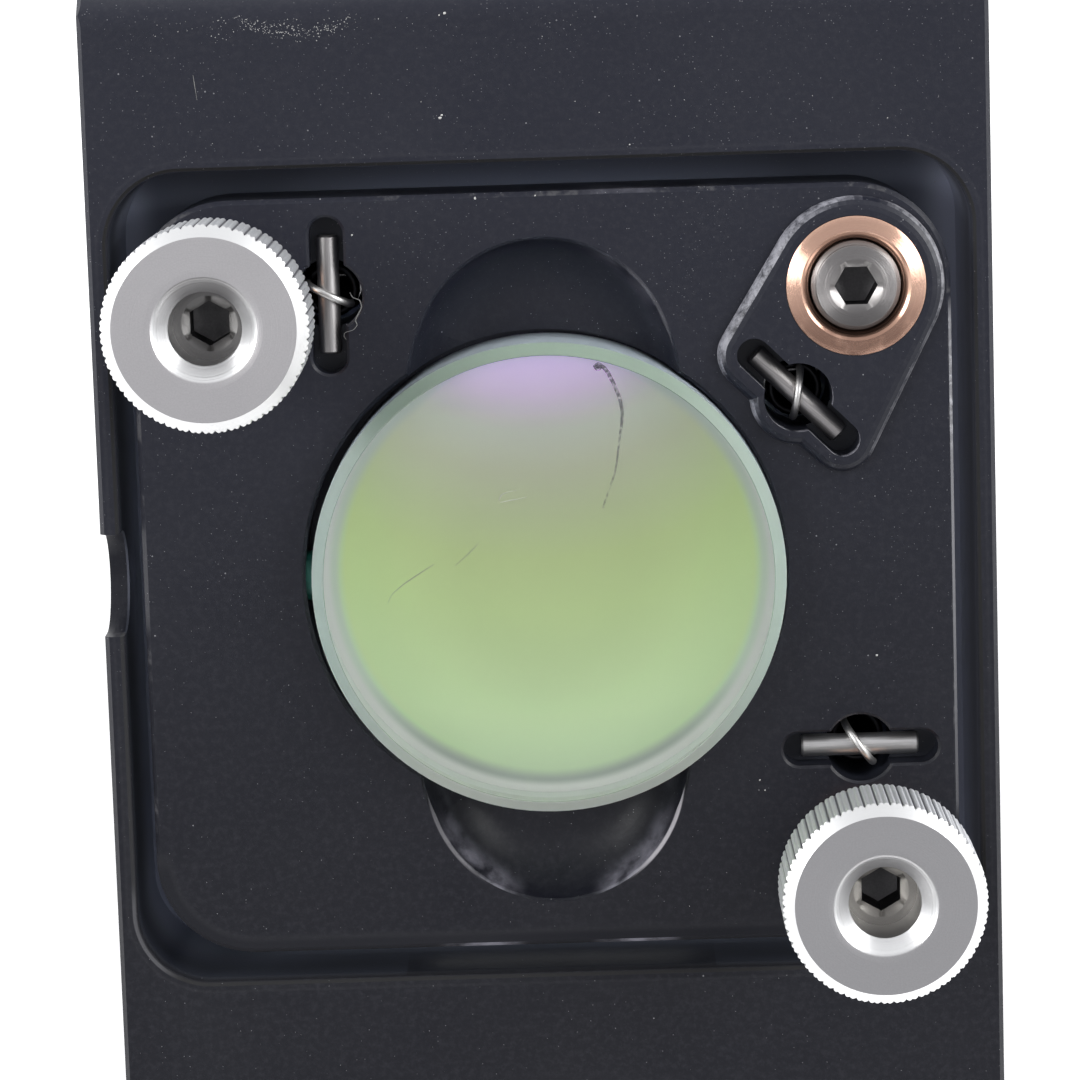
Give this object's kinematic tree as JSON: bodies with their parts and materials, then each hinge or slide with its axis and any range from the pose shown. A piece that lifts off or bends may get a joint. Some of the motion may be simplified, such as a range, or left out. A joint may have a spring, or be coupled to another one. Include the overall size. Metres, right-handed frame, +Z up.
{
  "type": "kinematic mirror mount",
  "caption": "Right-angle kinematic mirror mount: a cage-rod block cut at 45 degrees holds a sprung tilting plate with a round mirror, knurled fine-screw knobs and threaded ports.",
  "frame": {"origin": "centre of the bottom port's mouth, on the bottom face", "axes": "+X across the mount, +Y out of the back port, +Z up from the bottom port; the sloping face looks toward -Y and +Z"},
  "size_m": [0.0482, 0.0509, 0.0508],
  "materials": {
    "black_anodise": "satin black anodised",
    "steel": "ground bright",
    "screw_steel": "turned, dull grey",
    "black_screw": "black oxide",
    "knob_metal": "fine turned satin",
    "bronze": "turned bronze",
    "mirror_glass": "polished, coated on the far side",
    "nylon": "plain"
  },
  "bodies": {
    "base": {"mount_body": "black_anodise", "cone_seat": "steel", "vee_seat": "steel", "flat_seat": "steel", "yaw_body_pin": "steel", "pitch_body_pin": "steel", "pivot_body_pin": "steel", "rod_screw_1": "black_screw", "rod_screw_2": "black_screw", "rod_screw_3": "black_screw", "rod_screw_4": "black_screw", "rod_screw_5": "black_screw", "rod_screw_6": "black_screw", "rod_screw_7": "black_screw", "rod_screw_8": "black_screw"},
    "pivot_ball": {"pivot_ball": "steel"},
    "plate": {"mirror_plate": "black_anodise", "mirror": "mirror_glass", "mirror_setscrew": "black_screw", "nylon_tip": "nylon", "yaw_bushing": "bronze", "pitch_bushing": "bronze", "pivot_bushing": "bronze", "pivot_screw": "screw_steel", "yaw_plate_pin": "steel", "pitch_plate_pin": "steel", "pivot_plate_pin": "steel", "yaw_spring": "steel", "pitch_spring": "steel", "pivot_spring": "steel"},
    "yaw_tip": {"yaw_ball": "steel"},
    "yaw_drive": {"yaw_screw": "screw_steel", "yaw_knob": "knob_metal"},
    "pitch_tip": {"pitch_ball": "steel"},
    "pitch_drive": {"pitch_screw": "screw_steel", "pitch_knob": "knob_metal"}
  },
  "joints": [
    {"name": "yaw_tilt", "type": "hinge", "parent": "base", "child": "pivot_ball", "pos_m": [0.01678, 0.01488, 0.0306], "axis": [0, 0.7071, 0.7071], "range_deg": [-2.61, 2.61]},
    {"name": "pitch_tilt", "type": "hinge", "parent": "pivot_ball", "child": "plate", "pos_m": [0.01678, 0.01488, 0.0306], "axis": [-1, 0, 0], "range_deg": [-2.87, 2.87], "deforming": ["yaw_spring", "pitch_spring", "pivot_spring"]},
    {"name": "yaw_tip_travel", "type": "slide", "parent": "plate", "child": "yaw_tip", "axis": [0, 0.7071, -0.7071], "range_m": [-0.00153, 0.00153]},
    {"name": "yaw_knob_turn", "type": "hinge", "parent": "yaw_tip", "child": "yaw_drive", "pos_m": [-0.01678, 0.01426, 0.03122], "axis": [0, 0.7071, -0.7071], "range_deg": [-2160, 2160]},
    {"name": "pitch_tip_travel", "type": "slide", "parent": "plate", "child": "pitch_tip", "axis": [0, 0.7071, -0.7071], "range_m": [-0.00153, 0.00153]},
    {"name": "pitch_knob_turn", "type": "hinge", "parent": "pitch_tip", "child": "pitch_drive", "pos_m": [0.01678, -0.00668, 0.00903], "axis": [0, 0.7071, -0.7071], "range_deg": [-2160, 2160]}
  ],
  "couplings": [
    {"joint": "yaw_tilt", "follows": "yaw_knob_turn", "ratio": 0.0012046},
    {"joint": "yaw_tip_travel", "follows": "yaw_knob_turn", "m_per_rad": 0.000040425},
    {"joint": "pitch_tilt", "follows": "pitch_knob_turn", "ratio": 0.0013254},
    {"joint": "pitch_tip_travel", "follows": "pitch_knob_turn", "m_per_rad": 0.000040425}
  ]
}
